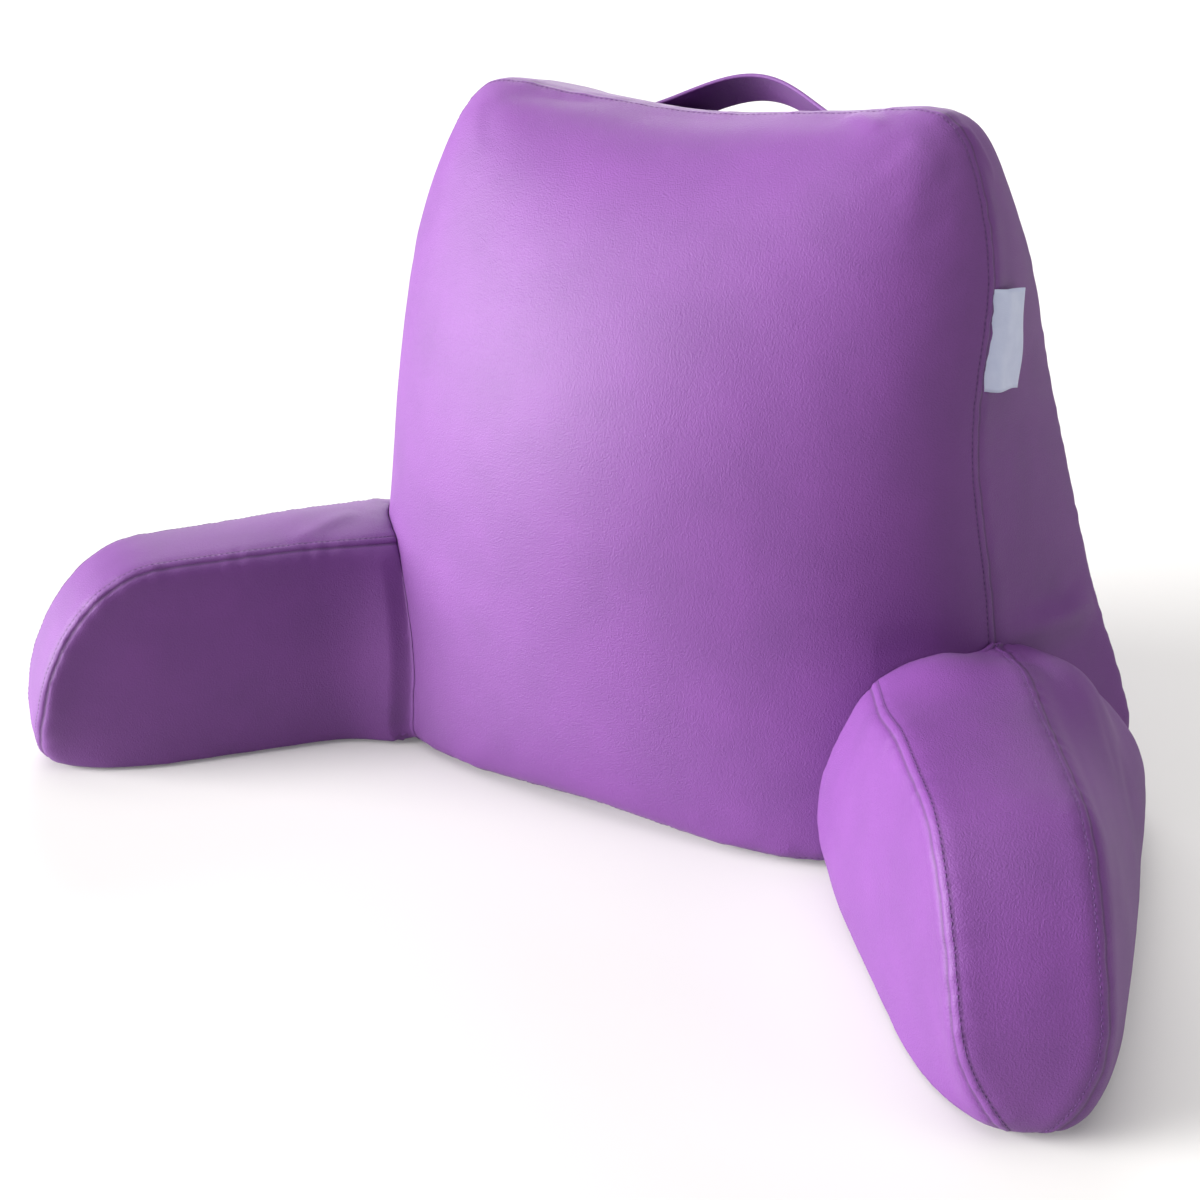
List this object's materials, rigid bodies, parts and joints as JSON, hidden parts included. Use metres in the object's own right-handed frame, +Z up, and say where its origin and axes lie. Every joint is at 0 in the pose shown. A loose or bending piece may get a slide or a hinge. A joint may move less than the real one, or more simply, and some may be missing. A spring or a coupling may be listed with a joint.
{
  "type": "reading pillow",
  "caption": "Upright wedge-shaped reading pillow with a crowned back, an arm sewn to each lower corner, a carry strap on top and a blank side label.",
  "frame": {"origin": "middle of the back cushion's flat underside, on the surface it stands on", "axes": "+Z up; -Y forwards, the way the arms point and the sitter faces; +X to the right as seen from the front"},
  "size_m": [0.8136, 0.4564, 0.4758],
  "materials": {
    "velour": "short-pile velour, soft sheen, cut pile brushed downwards",
    "velour_strap": "the same velour folded into a stitched strap",
    "label_tape": "smooth pale woven tape, blank"
  },
  "bodies": {
    "root": {"back_cushion": "velour", "arm_left": "velour", "arm_right": "velour", "carry_handle": "velour_strap", "side_label": "label_tape"}
  },
  "joints": []
}
